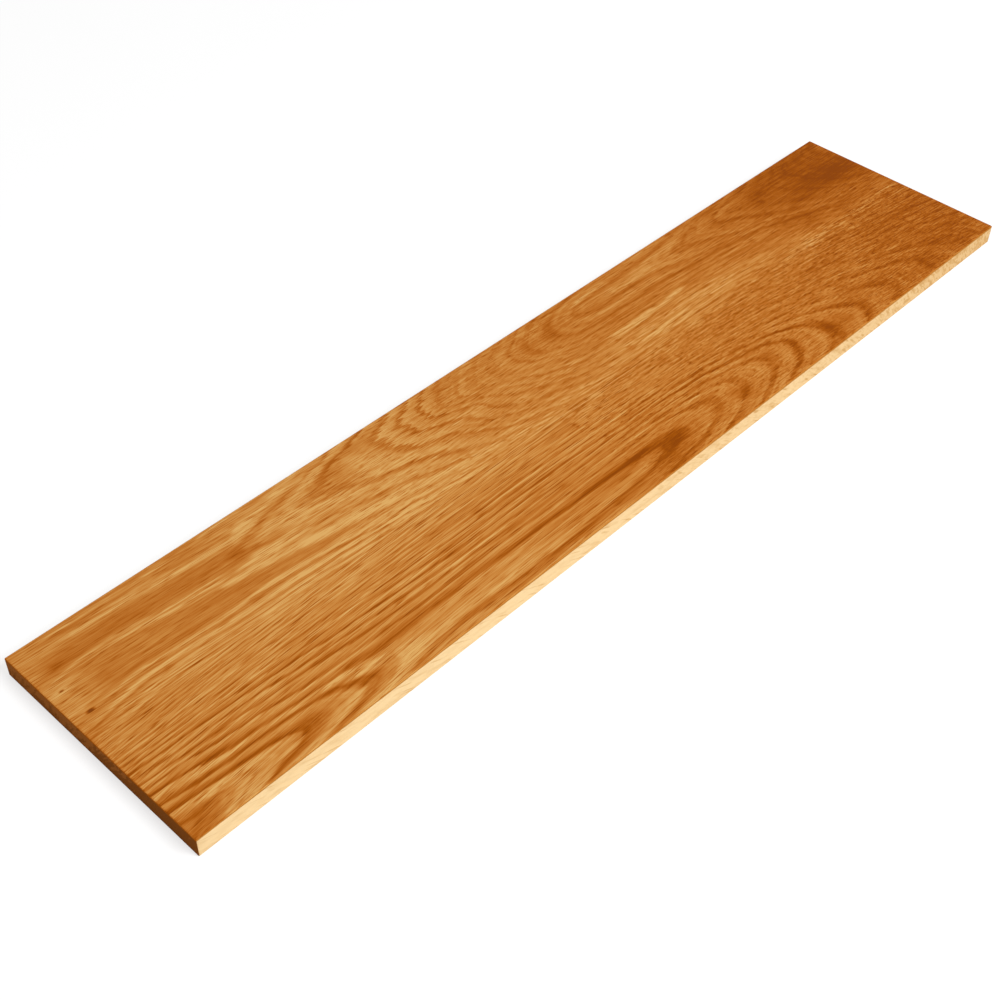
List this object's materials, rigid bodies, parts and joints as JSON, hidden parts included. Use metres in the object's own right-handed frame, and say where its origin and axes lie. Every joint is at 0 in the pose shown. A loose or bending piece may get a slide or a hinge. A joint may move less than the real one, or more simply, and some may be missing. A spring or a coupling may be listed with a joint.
{
  "type": "stair riser",
  "caption": "Flat solid oak stair riser board, edge-glued from flat-sawn staves, stained on its show face and bare at its edges and back.",
  "frame": {"origin": "middle of the back face, on the surface that the board lies on", "axes": "+X along the step, +Y across the board from its lower to its upper long edge, +Z from the back to the show face"},
  "size_m": [0.9144, 0.2032, 0.0175],
  "materials": {
    "near_stave_oak": "golden oak stain under satin lacquer on the show face, bare planed oak at the long edge and back, sawn end grain",
    "far_stave_oak": "golden oak stain under satin lacquer on the show face, bare planed oak at the long edge and back, sawn end grain"
  },
  "bodies": {
    "root": {"near_stave": "near_stave_oak", "far_stave": "far_stave_oak"}
  },
  "joints": []
}
